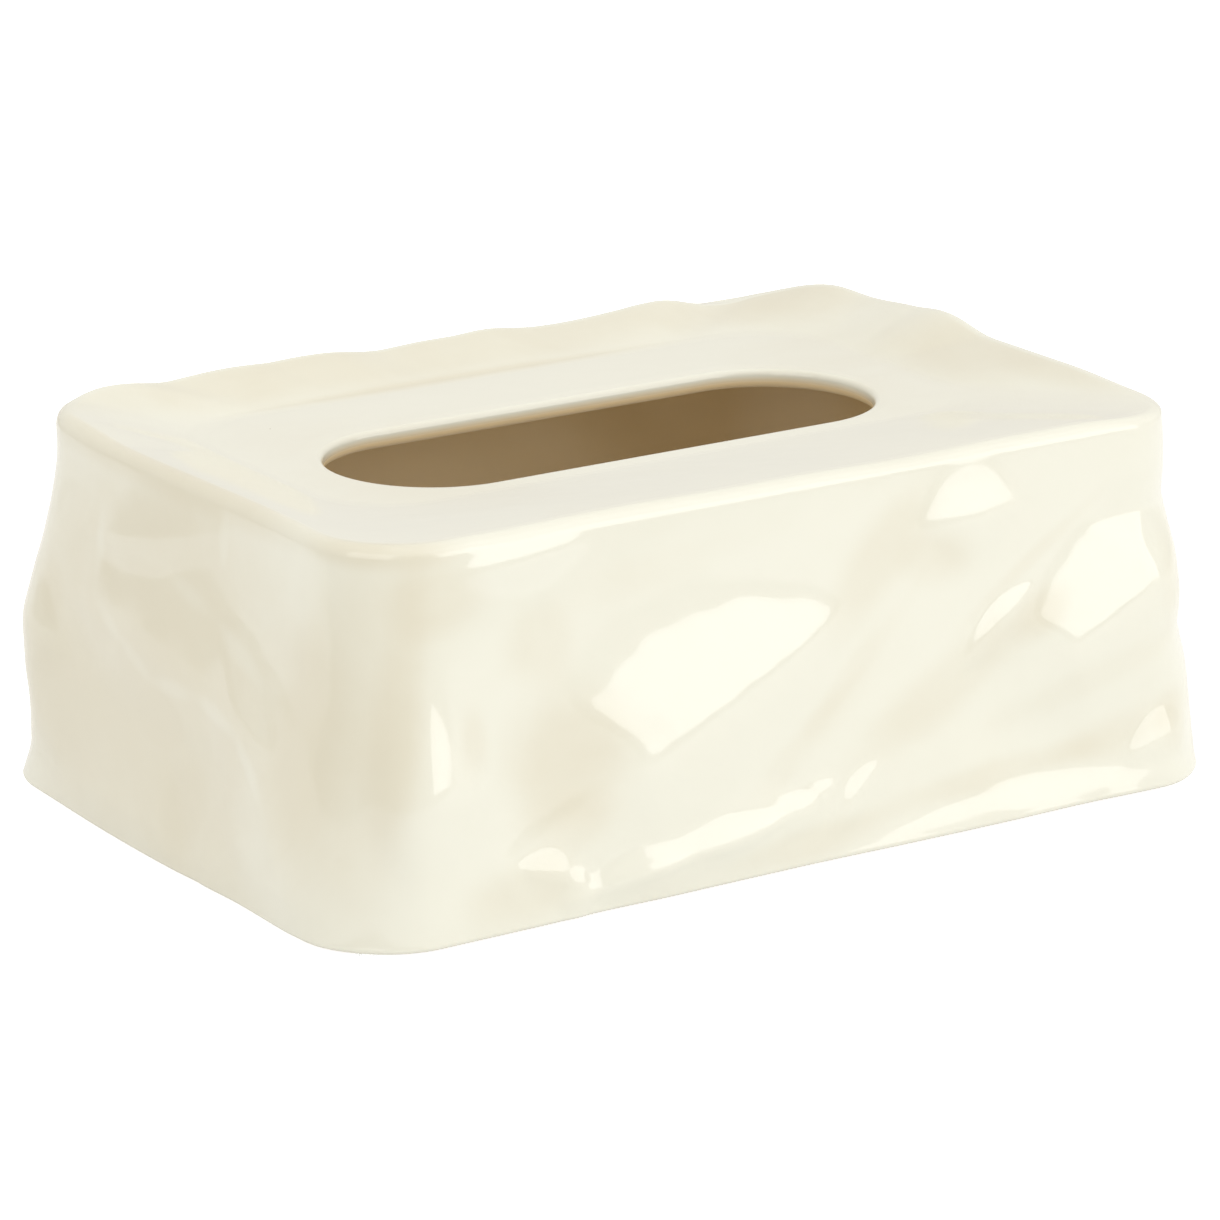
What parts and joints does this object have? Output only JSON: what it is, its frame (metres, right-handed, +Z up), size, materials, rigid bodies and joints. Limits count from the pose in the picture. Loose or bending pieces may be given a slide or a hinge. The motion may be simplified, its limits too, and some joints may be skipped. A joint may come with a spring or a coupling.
{
  "type": "tissue box cover",
  "caption": "Glazed ceramic tissue box cover with softly folded, flared walls, a wavy raised rim, a tray-like top with a round-ended slot, and an open base on small clear pads.",
  "frame": {"origin": "on the table, under the middle of the cover's outline", "axes": "+X along the length, towards the right end; +Y towards the back; +Z up, out of the slot"},
  "size_m": [0.2666, 0.1866, 0.1009],
  "materials": {
    "cream_glaze": "glossy glaze, slightly uneven, bare matt clay on the foot's flat land",
    "clear_silicone": "satin clear silicone"
  },
  "bodies": {
    "root": {"cover_shell": "cream_glaze", "foot_pad_front_left": "clear_silicone", "foot_pad_front_right": "clear_silicone", "foot_pad_rear_left": "clear_silicone", "foot_pad_rear_right": "clear_silicone"}
  },
  "joints": []
}
